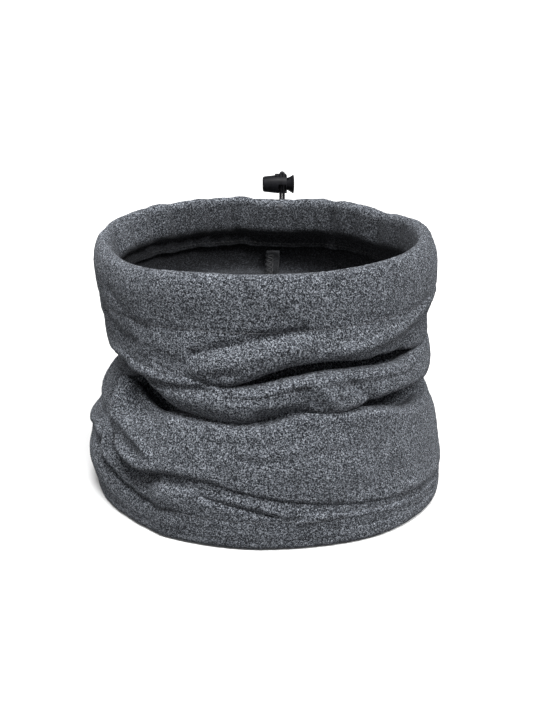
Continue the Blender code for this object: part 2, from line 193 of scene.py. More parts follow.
# Tucks: angle, height of the middle of the mouth, mouth height, depth, inner point (0 at the upper lip,
# 1 at the lower), recess of the crease, run-in above, run-in below, upper lip's swell, lower lip's swell.
TUCK_A = (
    (-170, 103, 0.4, 0.2, 0.5, 0.1, 5, 4, 0.3, 0.0), (-150, 101, 0.4, 0.2, 0.5, 0.1, 5, 4, 0.3, 0.0),
    (-130, 97.5, 0.4, 0.2, 0.5, 0.1, 5, 4, 0.2, 0.0), (-116, 93.0, 0.4, 0.3, 0.5, 0.2, 5, 4, 0.3, 0.0),
    (-108, 90.6, 0.5, 1.8, 0.6, 1.4, 5, 4, 1.0, -0.2), (-101, 89.4, 1.2, 7, 1.3, 3, 5, 4, 1.2, 0.6),
    (-95, 91, 4, 13, 1.8, 3.4, 6, 4, 1.2, 1.2), (-89, 93.8, 6.4, 17, 1.8, 3.4, 7, 3.6, 1.2, 1.6),
    (-80, 97.2, 6.8, 19, 1.8, 3.4, 7, 3.6, 1.2, 1.8), (-70, 98.2, 6.4, 19, 1.8, 3.4, 7, 3.6, 1.2, 1.8),
    (-58, 96.6, 5.6, 18, 1.8, 3.4, 7, 3.6, 1.2, 1.8), (-49, 95, 6.4, 18, 1.8, 3.4, 7, 3.6, 0.8, 1.8),
    (-41, 93.8, 7, 17, 1.8, 3.4, 7, 3.6, 0.4, 1.8), (-34, 92.8, 4.4, 13, 1.8, 3, 6, 4, 0.2, 1.2),
    (-25, 92.2, 1.6, 7, 1.3, 2.4, 6, 4, 0.2, 1), (0, 91, 0.8, 3, 0.5, 1.6, 6, 5, 0.4, 0.5),
    (40, 95, 2, 7, 1.3, 3, 8, 6, 1, 1), (80, 99, 2.4, 8, 1.3, 4, 9, 7, 1.2, 1),
    (120, 101, 2, 7, 1.3, 3.6, 9, 7, 1.2, 1), (155, 101, 1, 3, 0.5, 2.4, 8, 6, 0.8, 0.8),
)
TUCK_B = (
    (-176, 79.0, 2.0, 8.0, 1.0, 6.0, 8, 6, 1.0, 0.5), (-168, 80.4, 5.0, 13.0, 1.5, 5.0, 5, 4, 1.2, 1.0),
    (-160, 82.0, 9.0, 17.0, 1.8, 3.2, 3, 3.6, 1.6, 1.6),
    (-152, 83.8, 12.0, 19.0, 1.9, 2.4, 2.4, 3.4, 1.8, 2.0),
    (-145, 84.0, 14.4, 20.0, 1.9, 2.0, 2.2, 4.0, 2.0, 0.0),
    (-139, 81.0, 18.0, 20.0, 1.9, 2.0, 2.4, 6.0, 2.2, -2.4),
    (-134, 78.2, 16.6, 20.0, 1.9, 2.0, 2.6, 6.0, 2.2, -2.4),
    (-129, 75.2, 14.2, 19.0, 1.8, 2.2, 3.0, 5.0, 2.0, -1.6),
    (-125, 73.0, 11.2, 17.0, 1.8, 3.2, 5, 4, 1.4, 0.0), (-120, 71.0, 5.0, 12.0, 1.6, 5.4, 9, 4, 1.2, 1.6),
    (-116, 69.9, 2.4, 7.0, 1.2, 6.6, 12, 5, 1.0, 1.2), (-108, 69.2, 1, 4, 0.7, 7, 14, 5, 0.8, 1.2),
    (-98, 68.7, 0.9, 3, 0.6, 6.4, 14, 5, 0.8, 1.2), (-91, 69.4, 0.9, 2.4, 0.5, 5.8, 13, 5, 0.6, 1),
    (-85, 72.2, 1, 1.6, 0.5, 4.4, 10, 5, 0.4, 0.8), (-79, 75, 1, 1, 0.5, 2.6, 7, 5, 0.2, 0.6),
    (-72, 74.6, 0.6, 2, 0.5, 1.6, 5, 4, 0.6, 0.8), (-65, 73.4, 1, 7, 0.9, 2.4, 4, 3.6, 1.4, 1.2),
    (-58, 73.4, 3.4, 13, 1.8, 2.6, 4, 3.6, 1.8, 1.4), (-50, 73, 7.6, 18, 1.8, 2.6, 4, 3.4, 2.2, 1.8),
    (-41, 70.4, 12, 20, 1.8, 3, 4, 3.6, 2.4, 1.8), (-32, 67.6, 14, 20, 1.7, 3.4, 4, 4, 2.4, 1.6),
    (-20, 65, 13, 14, 1.5, 4, 5, 5, 1.8, 1.2), (-5, 61.6, 8, 4.5, 0.4, 4.4, 9, 9, 1, 0.6),
    (25, 66, 4, 6, 1.3, 4, 9, 8, 1, 0.8), (60, 73, 2.6, 9, 1.3, 3.6, 9, 7, 1, 1),
    (100, 76, 2.4, 9, 1.3, 3.6, 9, 7, 1, 1), (140, 75, 2, 7, 1.3, 4, 9, 7, 1, 0.8),
    (168, 77, 2, 7, 1.3, 5.4, 10, 8, 1, 0.6),
)
TUCK_C = (
    (-170, 50.0, 0.8, 0.3, 0.5, 0.0, 4, 4, 0.0, 0.0), (-150, 47.0, 0.8, 0.3, 0.5, 0.0, 4, 4, 0.0, 0.0),
    (-140, 44.0, 0.8, 0.3, 0.5, 0.1, 4, 4, 0.2, 0.0), (-130, 39.0, 1.2, 3.0, 0.5, 1.4, 4, 6, 1.0, -0.8),
    (-122, 37.6, 1.4, 6.0, 0.6, 2.4, 4, 6, 1.7, -1.4), (-114, 38.4, 1.0, 4.4, 0.4, 1.9, 4, 6, 1.3, -1.0),
    (-107, 38.6, 0.6, 1.8, 0.3, 1.2, 3.6, 6, 0.9, -0.4), (-97, 34.5, 0.6, 1.4, 0.3, 0.9, 3.2, 6, 0.9, -0.3),
    (-85, 29.8, 0.6, 1.2, 0.3, 0.9, 3.0, 6, 1.0, -0.3), (-72, 25.6, 0.6, 1.2, 0.3, 0.9, 3.0, 6, 1.1, -0.3),
    (-52, 20.4, 0.6, 1.2, 0.3, 0.9, 3.0, 6, 1.1, -0.3), (-33, 17.4, 0.6, 1.6, 0.3, 1.2, 3.2, 6, 1.2, -0.5),
    (-12, 14.8, 0.8, 2.6, 0.3, 1.9, 3.6, 6, 1.1, -0.6), (10, 17.0, 0.8, 2.6, 0.4, 1.6, 5, 6, 0.8, -0.4),
    (40, 30.0, 1.4, 5.5, 0.5, 3.0, 8, 7, 0.8, 0.4), (80, 46.0, 2.4, 9.0, 0.5, 4.0, 9, 7, 1.0, 0.8),
    (120, 50.0, 2.2, 9.0, 0.5, 4.0, 9, 7, 1.0, 0.8), (155, 56.0, 1.4, 4.0, 0.5, 2.4, 8, 6, 0.6, 0.4),
)
TUCK_D = (
    (-176, 33.0, 0.8, 3.0, 0.6, 2.2, 5, 6, 1.0, -0.6), (-168, 36.0, 1.0, 4.4, 0.6, 2.4, 4, 6, 1.4, -1.0),
    (-158, 35.6, 1.4, 6.0, 0.6, 2.6, 3.6, 6, 2.0, -1.4), (-153, 28.8, 1.6, 6.4, 0.6, 2.6, 3.6, 6, 2.2, -1.6),
    (-146, 25.6, 1.6, 6.2, 0.6, 2.4, 3.6, 6, 2.2, -1.6), (-138, 21.9, 1.2, 5.0, 0.5, 2.2, 3.6, 6, 1.8, -1.2),
    (-129, 19.5, 0.8, 3.4, 0.5, 1.8, 3.6, 6, 1.3, -0.9), (-120, 18.6, 0.6, 1.8, 0.4, 1.2, 4, 5, 0.8, -0.4),
    (-108, 18.0, 0.5, 0.3, 0.5, 0.2, 4, 4, 0.0, 0.0), (-80, 15.0, 0.5, 0.0, 0.5, 0.0, 4, 4, 0.0, 0.0),
    (-50, 11.0, 0.5, 0.0, 0.5, 0.0, 3, 3, 0.0, 0.0), (-10, 8.0, 0.5, 0.0, 0.5, 0.0, 2, 2, 0.0, 0.0),
    (20, 10.0, 0.5, 0.5, 0.5, 0.4, 3, 3, 0.0, 0.0), (60, 22.0, 1.0, 4.0, 0.5, 2.4, 7, 6, 0.6, 0.2),
    (110, 27.0, 1.4, 6.0, 0.5, 3.4, 8, 7, 0.8, 0.4), (150, 29.0, 1.0, 5.0, 0.5, 3.0, 7, 7, 0.8, 0.2),
)
TUCKS = (TUCK_A, TUCK_B, TUCK_C, TUCK_D)
# Drawn lines on the outside: amplitude in mm, half width in mm, then (angle, height) along the line.
LINES = (
    (1.1, 1.3, ((-142, 90.8), (-133, 90.0), (-124, 88.9), (-117, 89.3), (-110, 90.4))),
    (-1.1, 3.0, ((-134, 86.5), (-124, 85.0), (-116, 85.6), (-108, 86.6))),
    (-2.4, 3.2, ((-112, 105.5), (-104, 109.5), (-91, 115.5), (-78, 119.0))),
    (2.0, 3.4, ((-110, 97.5), (-98, 102.5), (-88, 108.5), (-76, 111.5))),
    (1.7, 2.6, ((-16, 121.5), (-24, 118.0), (-33, 113.8), (-41, 111.6), (-50, 108.6), (-64, 107.4))),
    (-1.8, 4.2, ((-20, 109.0), (-30, 105.0), (-40, 103.0), (-50, 101.5))),
    (-1.3, 5.0, ((-124, 99.5), (-112, 97.5), (-100, 96.5))),
    (0.9, 1.4, ((-97, 55.9), (-91, 55.0), (-85, 55.3), (-79, 56.4), (-73, 57.8), (-66, 58.4), (-52, 56.2))),
    (-0.8, 1.8, ((-97, 52.6), (-88, 51.8), (-79, 53.2), (-70, 55.0), (-56, 53.4))),
    (1.9, 1.7, (
        (-145.2, 84.0), (-145.0, 76.0), (-145.0, 66.0), (-143.4, 59.5), (-138, 54.5), (-131, 50.5),
        (-126, 46.0),
    )),
    (-1.9, 2.4, ((-142.6, 53.0), (-139.5, 49.8), (-135.0, 46.6), (-131, 44.5))),
    (1.9, 2.8, ((-73, 89.0), (-71.0, 84.5), (-69.5, 80.5))),
    (-1.6, 4.0, ((-79, 88.0), (-77, 83.0))),
    (-2.0, 3.6, ((-62, 88.0), (-58, 82.0), (-56, 78.0))),
    (-3.0, 4.6, ((-90, 73.0), (-84, 75.5), (-78, 77.0))),
    (-1.9, 2.0, ((-108, 29.5), (-97, 25.4), (-88, 20.8))),
    (1.0, 2.0, ((-100, 30.0), (-90, 26.0), (-80, 22.5))),
    (1.0, 2.0, ((-80, 16.5), (-67, 20.5))),
    (-2.2, 8.0, ((-36, 101.5), (-20, 104.0), (-5, 103.0))),
    (-1.5, 3.0, ((-158, 112.0), (-146, 107.0), (-136, 104.5))),
    (-1.0, 3.4, ((-150, 128.0), (-140, 119.0), (-130, 114.0))),
)
# Overhanging edges: lift, drop, reach, width of the raised roll and width of the hollow in mm, then
# (angle, height, strength) along the edge, with the raised side on its left.
FLAPS = (
    (4.2, 11.0, 3.6, 5.0, 27.0, (
        (-147, 90.0, 0.0), (-146.2, 84.0, 0.7), (-145.8, 77.0, 1.0), (-145.8, 70.0, 1.1), (-145.6, 63.0, 1.1),
        (-144.8, 56.5, 1.1), (-142.4, 50.0, 1.1), (-138.6, 44.6, 1.1), (-133, 40.2, 1.0), (-127, 37.8, 0.7),
        (-121, 37.4, 0.0),
    )),
    (2.0, 2.6, 1.6, 2.6, 5.0, (
        (-170, 40.5, 0.0), (-162, 38.5, 0.7), (-157, 35.0, 1.0), (-152, 29.0, 1.0), (-146, 25.6, 1.0),
        (-138, 21.9, 0.9), (-129, 19.5, 0.6), (-118, 19.0, 0.0),
    )),
)


def bspline(count, rows):
    """Weights of the clamped uniform cubic B-spline on that many control points, one row for each sample."""
    u = np.linspace(0, count - 3, rows)
    i = np.minimum(u.astype(int), count - 4)
    t = u - i
    w = np.zeros((rows, count))
    basis = ((1 - t) ** 3, 3 * t**3 - 6 * t**2 + 4, -3 * t**3 + 3 * t**2 + 3 * t + 1, t**3)
    for k in range(4):
        w[np.arange(rows), i + k] = basis[k] / 6
    return w


def swell_at(angles, z):
    """The wall's stand-off at these angles (degrees) and heights (mm)."""
    left, front, right, back, corner_left, corner_right = height_curve(SWELL, z)
    turn = np.radians(angles)
    c, s = np.cos(turn), np.sin(turn)
    wide = np.where(c > 0, right, left) * c**2
    deep = np.where(s > 0, back, front) * s**2
    corner = np.where(c > 0, corner_right, corner_left) * np.where(s < 0, 2 * s * c, 0) ** 2
    return wide + deep + corner


def fleece_profile(angles, crest):
    """Control points of the cloth's middle at every angle, from the band's edge: stand-off, height in mm."""
    rows = []

    def put(out, z):
        rows.append(np.stack(np.broadcast_arrays(out, z, angles)[:2], -1).astype(float))

    half = PLY / MM / 2
    pleat = np.zeros_like(angles)
    for at, width, deep in GATHERS:
        away = (angles - at + 180) % 360 - 180
        pleat += deep * np.exp(-((away / width) ** 2))
    crest = crest - 0.22 * pleat
    for out, below, share in BAND:
        put(out - half + share * pleat, crest - half - below)
    for below in (8.0, 13.0, 18.0, 22.5):
        z = crest - half - below
        put(swell_at(angles, z) - half + 0.3 - 0.2 * pleat * (23 - below) / 20, z)
    stitch = crest - CASING_STITCH
    swell = swell_at(angles, stitch) - half
    pull = 0.1 + 0.6 * np.abs(np.cos(np.radians(angles))) ** 6
    put(swell + 0.1, stitch + 1.8)
    put(swell - pull, stitch + 0.4)
    put(swell - pull, stitch - 0.4)
    put(swell + 0.1, stitch - 1.8)

    rings = [ring_curve(keys, angles).T for keys in TUCKS]
    starts = [stitch - 2.2]
    tops, lows = [], []
    for ring in rings:
        tops.append(np.minimum(ring[0] + ring[1] / 2, starts[-1] - 0.8))
        lows.append(tops[-1] - ring[1])
        starts.append(lows[-1])
    runs_low = [ring[6] for ring in rings]
    runs_up = [ring[5] for ring in rings]
    for i in range(len(rings)):
        wanted = runs_up[i] + (runs_low[i - 1] if i else 0)
        fit = np.clip(0.85 * (starts[i] - tops[i]) / wanted, 0.03, 1)
        runs_up[i] = runs_up[i] * fit
        if i:
            runs_low[i - 1] = runs_low[i - 1] * fit
    above = starts[0]
    for i, ring in enumerate(rings):
        gap, depth, inner, recess = ring[1:5]
        lip_up, lip_low = ring[7:9]
        top, low, run_up, run_low = tops[i], lows[i], runs_up[i], runs_low[i]
        room = np.maximum(above - top - run_up, 0.2)
        for part in (0.15, 0.4, 0.65, 0.88):
            z = above - room * part
            put(swell_at(angles, z) - half + lip_up * part + 0.5 * math.sin(math.pi * part), z)
        up, down = swell_at(angles, top) - half, swell_at(angles, low) - half
        strong = np.clip(depth / 8, 0.1, 1)
        put(up + lip_up, top + run_up * 0.95)
        put(up + lip_up - 0.16 * recess, top + run_up * 0.52)
        put(up + 0.6 * lip_up - 0.52 * recess, top + run_up * 0.16)
        put(up - recess - 0.14 * depth, top - 0.2 * strong)
        base = swell_at(angles, (top + low) / 2) - half - recess
        put(base - 0.55 * depth, top - 0.10 * gap)
        put(base - depth, top - 0.22 * gap)
        put(base - depth, top - inner * gap - 0.8 * strong)
        put(base - 0.55 * depth, top - inner * gap - 1.2 * strong)
        put(down - recess * 0.9 - 0.13 * depth, low + 0.1 * strong)
        put(down + 0.4 * lip_low - 0.40 * recess - 0.03 * depth, low - run_low * 0.08)
        put(down + lip_low - 0.12 * recess, low - run_low * 0.42)
        put(down + lip_low, low - run_low * 0.95)
        above = low - run_low
    room = np.maximum(above - 5.0, 1.0)
    for part in (0.3, 0.65):
        z = above - room * part
        put(swell_at(angles, z) - half + 0.3, z)
    foot = swell_at(angles, np.zeros_like(angles)) - half
    for out, z in ((0.2, 5.3), (0.3, 3.2), (-0.1, 1.5), (-1.9, 1.25), (-3.6, 1.5), (-3.9, 3.2)):
        put(foot + out, np.full_like(angles, z))
    for out, z in ((-3.7, 7.0), (-3.5, 12.0), (-3.3, 16.0), (-3.2, 19.0), (-3.2, 21.0)):
        put(swell_at(angles, np.full_like(angles, z)) - half + out, np.full_like(angles, z))
    return np.stack(rows, 1)


# Columns of the cloth's grid round the tube, its rows from the band's edge to the hem's, and about how many
# of those rows are on the band.
COLUMNS, ROWS = 720, 400
BAND_ROWS = 60


def build_fleece():
    angles = np.arange(COLUMNS) * 360.0 / COLUMNS - 180
    crest = ring_curve(CREST, angles)[:, 0]
    control = fleece_profile(angles, crest)
    weights = bspline(control.shape[1], ROWS)
    out_z = np.einsum("rk,ckd->crd", weights, control)
    turn = np.radians(angles)[:, None]
    out, z = out_z[..., 0] * MM, out_z[..., 1] * MM
    mid = np.stack([(RIM_A + out) * np.cos(turn), (RIM_B + out) * np.sin(turn), z], -1)
    return angles, out_z, mid


def normals_of(grid):
    """Unit normals of a grid that is closed round its first axis, pointing out of the tube on the outside."""
    du = np.roll(grid, -1, 0) - np.roll(grid, 1, 0)
    dv = np.gradient(grid, axis=1)
    n = np.cross(dv, du)
    return n / np.maximum(np.linalg.norm(n, axis=-1, keepdims=True), 1e-12)


def line_field(angles, out_z):
    """How far the drawn lines move the cloth along its normal, in mm. The hem goes the way the wall goes."""
    radius = (RIM_A + RIM_B) / 2 / MM
    a = np.radians(angles)[:, None] * radius
    z = out_z[..., 1]
    total = np.zeros_like(z)
    rows, foot = np.arange(ROWS), np.argmin(z, axis=1)[:, None]
    outward = np.where(rows < BAND_ROWS, 0.0, np.where(rows < foot, 1.0, -1.0))
    for amount, width, points in LINES:
        near = np.full_like(z, 1e9)
        pts = [(math.radians(p[0]) * radius, p[1]) for p in points]
        for (ax, az), (bx, bz) in zip(pts[:-1], pts[1:]):
            dx, dz = bx - ax, bz - az
            t = np.clip(((a - ax) * dx + (z - az) * dz) / (dx * dx + dz * dz), 0, 1)
            near = np.minimum(near, (a - ax - t * dx) ** 2 + (z - az - t * dz) ** 2)
        total += amount * np.exp(-near / width**2)
    return total * outward


def flap_field(angles, out_z):
    """How the overhanging edges move the wall and its hem: outwards, round the tube and upwards, in mm."""
    radius = (RIM_A + RIM_B) / 2 / MM
    a = np.broadcast_to(np.radians(angles)[:, None] * radius, out_z.shape[:2])
    z = out_z[..., 1]
    rows = np.arange(ROWS)
    mask = (rows > np.argmax(z, axis=1)[:, None]).astype(float)
    moved = np.zeros(z.shape + (3,))
    for lift, drop, reach, roll, fade, points in FLAPS:
        near, signed, power = np.full(z.shape, 1e9), np.zeros(z.shape), np.zeros(z.shape)
        across = np.zeros(z.shape + (2,))
        pts = [(math.radians(p[0]) * radius, p[1], p[2]) for p in points]
        for (ax, az, aw), (bx, bz, bw) in zip(pts[:-1], pts[1:]):
            dx, dz = bx - ax, bz - az
            span = math.hypot(dx, dz)
            t = np.clip(((a - ax) * dx + (z - az) * dz) / span**2, 0, 1)
            gap = (a - ax - t * dx) ** 2 + (z - az - t * dz) ** 2
            better = gap < near
            side = np.sign((z - az) * dx - (a - ax) * dz)
            near = np.where(better, gap, near)
            signed = np.where(better, side * np.sqrt(gap), signed)
            power = np.where(better, aw + (bw - aw) * t, power)
            across = np.where(better[..., None], np.array((-dz / span, dx / span)), across)
        raised = lift * np.exp(-((signed / roll) ** 2)) * (1 - 0.35 * np.exp(-((signed / 0.9) ** 2)))
        sunk = -drop * np.exp(-((signed / fade) ** 2))
        step = np.clip((signed + 0.7) / 1.0, 0, 1)
        step = step * step * (3 - 2 * step)
        moved[..., 0] += mask * power * (step * raised + (1 - step) * sunk)
        slide = -mask * power * reach * step * np.exp(-((np.maximum(signed, 0) / 3.4) ** 2))
        moved[..., 1:] += slide[..., None] * across
    return moved


angles, out_z, middle = build_fleece()
crest_row = np.argmax(out_z[..., 1], axis=1)
foot_row = np.argmin(out_z[..., 1], axis=1)
below_crest = out_z[..., 1].max(axis=1)[:, None] - out_z[..., 1]
moved = flap_field(angles, out_z) * MM
turn_of = np.radians(angles)[:, None]
outwards = np.stack(np.broadcast_arrays(np.cos(turn_of), np.sin(turn_of), 0.0), -1)
around = np.stack(np.broadcast_arrays(-np.sin(turn_of), np.cos(turn_of), 0.0), -1)
middle = middle + outwards * moved[..., :1] + around * moved[..., 1:2]
middle[..., 2] += moved[..., 2]
normal = normals_of(middle)
middle = middle + normal * (line_field(angles, out_z) * MM)[..., None]
normal = normals_of(middle)


def relief(points):
    """Soft unevenness of the cloth and the lumps of its pile, in metres, read from noise in space."""
    flat = points.reshape(-1, 3)
    soft = np.array([noise.noise(Vector((x * 26, y * 26, z * 55 + 4))) for x, y, z in flat[::4]])
    soft = np.repeat(soft, 4)[: len(flat)]
    pile = np.array([noise.noise(Vector((x * 620, y * 620, z * 620))) for x, y, z in flat])
    return (soft * 0.0006).reshape(points.shape[:2]), (pile * 0.00026).reshape(points.shape[:2])


uneven, pile = relief(middle)
middle = middle + normal * uneven[..., None]
outer = middle + normal * (PLY / 2 + pile)[..., None]
inner = middle - normal * PLY / 2


def sheet_solid(name, front, back):
    """A closed solid between two grids that are closed round their first axis."""
    cols, rows = front.shape[:2]
    verts = np.concatenate([front.reshape(-1, 3), back.reshape(-1, 3)])
    i = np.arange(cols)
    j = (i + 1) % cols
    r = np.arange(rows - 1)
    a = (i[:, None] * rows + r).ravel()
    b = (j[:, None] * rows + r).ravel()
    half = cols * rows
    faces = [np.stack([a, a + 1, b + 1, b], -1), np.stack([a, b, b + 1, a + 1], -1) + half]
    for row, flip in ((0, False), (rows - 1, True)):
        p, q = i * rows + row, j * rows + row
        quad = np.stack([p, q, q + half, p + half], -1)
        faces.append(quad[:, ::-1] if flip else quad)
    return mesh_object(name, verts, np.concatenate(faces))


fleece = sheet_solid("fleece_cloth", outer, inner)

# ---------------------------------------------------------------- materials


def material(name, colour, roughness):
    """A new Principled material, its node tree and its shader."""
    mat = bpy.data.materials.new(name)
    mat.use_nodes = True
    tree = mat.node_tree
    shader = tree.nodes["Principled BSDF"]
    shader.inputs["Base Color"].default_value = (*colour, 1)
    shader.inputs["Roughness"].default_value = roughness
    return mat, tree, shader


def node(tree, kind, **settings):
    made = tree.nodes.new(kind)
    for key, value in settings.items():
        if key in made.inputs:
            made.inputs[key].default_value = value
        else:
            setattr(made, key, value)
    return made


def ramp(tree, source, stops):
    made = tree.nodes.new("ShaderNodeValToRGB")
    elements = made.color_ramp.elements
    while len(elements) < len(stops):
        elements.new(0.5)
    for element, (at, colour) in zip(elements, stops):
        element.position = at
        element.color = (*colour, 1) if len(colour) == 3 else (colour[0],) * 3 + (1,)
    tree.links.new(source, made.inputs["Fac"])
    return made


def math_node(tree, operation, a, b):
    made = tree.nodes.new("ShaderNodeMath")
    made.operation = operation
    for socket, value in zip(made.inputs, (a, b)):
        if isinstance(value, (int, float)):
            socket.default_value = value
        else:
            tree.links.new(value, socket)
    return made.outputs[0]


def mix_colour(tree, kind, factor, a, b):
    made = tree.nodes.new("ShaderNodeMix")
    made.data_type = "RGBA"
    made.blend_type = kind
    for socket, value in ((made.inputs[0], factor), (made.inputs[6], a), (made.inputs[7], b)):
        if isinstance(value, (int, float)):
            socket.default_value = value
        elif isinstance(value, tuple):
            socket.default_value = (*value, 1)
        else:
            tree.links.new(value, socket)
    return made.outputs[2]


def noise_in(tree, **settings):
    """The value of a noise texture in the object's own space."""
    texture = node(tree, "ShaderNodeTexNoise", **settings)
    tree.links.new(node(tree, "ShaderNodeTexCoord").outputs["Object"], texture.inputs["Vector"])
    return texture.outputs["Fac"]


def drive(tree, shader, socket, source, stops):
    """Sets a socket of the shader from a source through a ramp."""
    tree.links.new(ramp(tree, source, stops).outputs["Color"], shader.inputs[socket])


def add_bump(tree, shader, height, strength, distance):
    bump = node(tree, "ShaderNodeBump", Strength=strength, Distance=distance)
    tree.links.new(height, bump.inputs["Height"])
    tree.links.new(bump.outputs["Normal"], shader.inputs["Normal"])


def fleece_material(name, inside):
    """Heathered fleece: dark and pale flecks of pile. Where "inside" is 1 its colour is times inside, as
    painted shade.
    """
    mat, tree, shader = material(name, (0.1, 0.107, 0.122), 0.95)
    fleck = noise_in(tree, Scale=1320.0, Detail=3.0, Roughness=0.75, Distortion=0.9)
    fine = noise_in(tree, Scale=2900.0, Detail=2.0, Roughness=0.6, Distortion=0.4)
    cloud = noise_in(tree, Scale=95.0, Detail=3.0, Roughness=0.6, Distortion=0.3)
    coarse_part = math_node(tree, "MULTIPLY", fleck, 0.8)
    fine_part = math_node(tree, "MULTIPLY", fine, 0.2)
    both = math_node(tree, "ADD", coarse_part, fine_part)
    colour = ramp(tree, both, (
        (0.42, (0.001, 0.001, 0.002)), (0.47, (0.004, 0.005, 0.007)), (0.505, (0.025, 0.028, 0.034)),
        (0.535, (0.088, 0.097, 0.114)), (0.585, (0.30, 0.32, 0.352)),
    ))
    shade = ramp(tree, cloud, ((0.3, (0.82,)), (0.7, (1.16,))))
    shaded = mix_colour(tree, "MULTIPLY", 1.0, colour.outputs["Color"], shade.outputs["Color"])
    # Painted shade: where the "inside" attribute is 1, the colour is multiplied by the given factor.
    back = node(tree, "ShaderNodeAttribute", attribute_name="inside")
    dark = mix_colour(tree, "MULTIPLY", 1.0, shaded, (inside, inside, inside * 1.04))
    tree.links.new(mix_colour(tree, "MIX", back.outputs["Fac"], shaded, dark), shader.inputs["Base Color"])
    add_bump(tree, shader, both, 1.0, 0.0009)
    shader.inputs["Sheen Weight"].default_value = 0.08
    shader.inputs["Sheen Roughness"].default_value = 0.6
    shader.inputs["Sheen Tint"].default_value = (0.75, 0.78, 0.85, 1)
    shader.inputs["Specular IOR Level"].default_value = 0.15
    return mat


# Painted shade: the band's shaded parts and the whole inner face are painted at 0.13 times the fleece's
# colour.
fleece.data.materials.append(fleece_material("heathered_fleece", 0.13))


def painted_inside_shade():
    """Painted shade for each point of the fleece, 0 to 1: how dark it is. The band's face is painted darker
    by place, except at the left where the key light falls; its lower part is painted fully dark, and so is
    the whole inner face.
    """
    # Painted shade on the band's lower part, more than 13.5 mm under the crest, where it turns under.
    under_band = np.clip((below_crest - 13.5) / 4.0, 0, 1)
    from_left = np.abs(angles[:, None] % 360 - 180)
    down_band = np.clip((below_crest - 0.6) / 3.0, 0, 1)
    # Painted shade on the band's face at the back and right, away from the key light on the right.
    turned = 0.68 * down_band * np.clip((from_left - 26) / 30, 0, 1)
    on_band = np.arange(ROWS) < crest_row[:, None]
    front = np.maximum(under_band, turned) * on_band
    # The whole inner face of the cloth gets full painted shade, for the shade inside the tube.
    return np.concatenate([front.ravel(), np.ones(front.size)]).astype(np.float32)


def set_painted_shade(obj, values):
    obj.data.attributes.new("inside", "FLOAT", "POINT").data.foreach_set("value", values)


set_painted_shade(fleece, painted_inside_shade())
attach(fleece, "gaiter")
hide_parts("fleece_tube", "casing_band", "hem_band")

# ---------------------------------------------------------------- drawcord

bight_low, bight_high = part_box("drawcord_bight")
barrel_low, barrel_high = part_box("cord_lock_barrel")
CORD_X, CORD_Y = (bight_low.x + bight_high.x) / 2, (bight_low.y + bight_high.y) / 2
LOCK_Y, LOCK_Z = (barrel_low.y + barrel_high.y) / 2, (barrel_low.z + barrel_high.z) / 2
CORD_RADIUS = 0.0008
BRAID_RADIUS = 0.00092
LEG_HALF = 0.00095
# The ring of cord in the channel: how far inside the rim's oval it lies, and its height where it runs level.
CHANNEL_IN = 0.0040
CHANNEL_Z = 0.1437
CORD_ANGLE = math.degrees(math.atan2(CORD_Y / RIM_B, CORD_X / RIM_A))


def braided(name, path, radius, sides=16, step=0.00022):
    """A braided cord along the path: a tube whose strands cross in two families of helices."""
    path = np.array(path, float)
    run = np.concatenate([[0], np.cumsum(np.linalg.norm(np.diff(path, axis=0), axis=1))])
    count = max(int(run[-1] / step), 8)
    along = np.linspace(0, run[-1], count)
    line = np.stack([np.interp(along, run, path[:, k]) for k in range(3)], -1)
    tangent = np.gradient(line, axis=0)
    tangent /= np.linalg.norm(tangent, axis=1, keepdims=True)
    side = np.zeros_like(line)
    side[0] = np.cross(tangent[0], (0.0, 1.0, 0.02))
    side[0] /= np.linalg.norm(side[0])
    for i in range(1, count):
        v = side[i - 1] - tangent[i] * side[i - 1].dot(tangent[i])
        side[i] = v / np.linalg.norm(v)
    up = np.cross(tangent, side)
    turn = np.arange(sides) * 2 * math.pi / sides
    twist = along[:, None] * 2 * math.pi / 0.0034
    weave = np.maximum(np.abs(np.sin(2 * turn + twist)), np.abs(np.sin(2 * turn - twist)))
    reach = radius * (0.90 + 0.10 * weave)
    verts = line[:, None] + reach[..., None] * (
        np.cos(turn)[None, :, None] * side[:, None] + np.sin(turn)[None, :, None] * up[:, None]
    )
    return close_and_turn_out(mesh_object(name, verts.reshape(-1, 3), tube_quads(count, sides)))


def bight_path():
    top = bight_high.z - CORD_RADIUS - LEG_HALF
    heights = np.linspace(bight_low.z, top, 12)
    points = [(CORD_X - LEG_HALF, CORD_Y, z) for z in heights]
    for i in range(1, 12):
        turn = math.pi - math.pi * i / 12
        points.append((CORD_X + LEG_HALF * math.cos(turn), CORD_Y, top + LEG_HALF * math.sin(turn)))
    return points + [(CORD_X + LEG_HALF, CORD_Y, z) for z in heights[::-1]]


def cord_material():
    mat, tree, shader = material("cord_polyester", (0.012, 0.012, 0.014), 0.62)
    fibre = noise_in(tree, Scale=5200.0, Detail=2.0, Roughness=0.6)
    drive(tree, shader, "Base Color", fibre, ((0.35, (0.006, 0.006, 0.007)), (0.62, (0.035, 0.035, 0.039))))
    add_bump(tree, shader, fibre, 0.5, 0.00015)
    shader.inputs["Specular IOR Level"].default_value = 0.15
    return mat


cord_look = cord_material()
bight_line = bight_path()
bight = braided("drawcord_bight_braid", bight_line, BRAID_RADIUS)
bight.data.materials.append(cord_look)
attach(bight, "cord_bight")
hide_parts("drawcord_bight")


